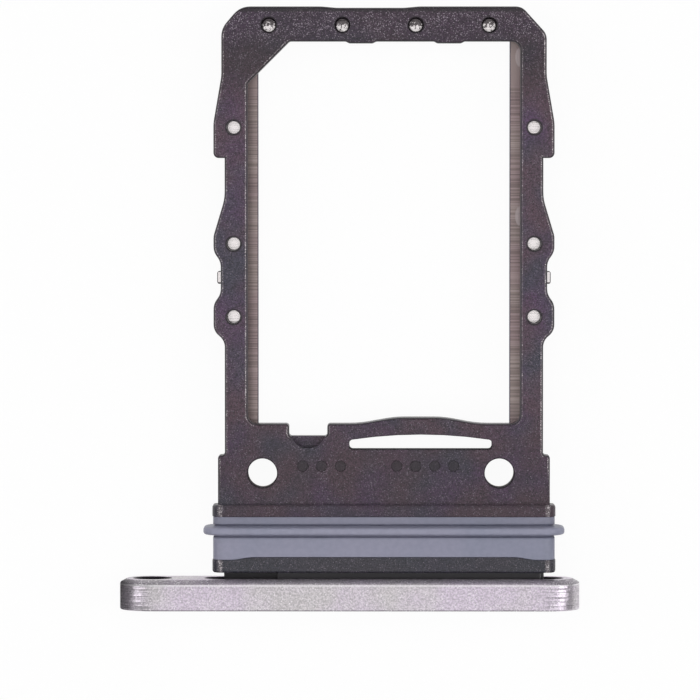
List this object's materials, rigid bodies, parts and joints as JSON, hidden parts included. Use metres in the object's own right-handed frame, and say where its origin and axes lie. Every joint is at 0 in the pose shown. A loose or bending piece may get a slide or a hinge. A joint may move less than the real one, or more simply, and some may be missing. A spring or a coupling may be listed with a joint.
{
  "type": "sim card tray",
  "caption": "Slide-in card tray for a phone: an open moulded frame over a stamped steel insert, with a sealing ring and a metal end cap with an eject hole.",
  "frame": {"origin": "middle of the end cap's outer face", "axes": "+X along the cap, away from the eject hole; +Y into the phone; +Z the side on which the card is laid in"},
  "size_m": [0.015, 0.0197, 0.0022],
  "materials": {
    "anodised_metal": "bead blasted and anodised, pale silver with a lilac cast",
    "moulded_plastic": "fine spark textured polycarbonate, dark purple grey",
    "stamped_steel": "bare cold rolled sheet with fine lines across the ledges",
    "silicone": "smooth blue grey silicone with a soft sheen"
  },
  "bodies": {
    "root": {"end_cap": "anodised_metal", "tray_body": "moulded_plastic", "steel_insert": "stamped_steel", "sealing_ring": "silicone"}
  },
  "joints": []
}
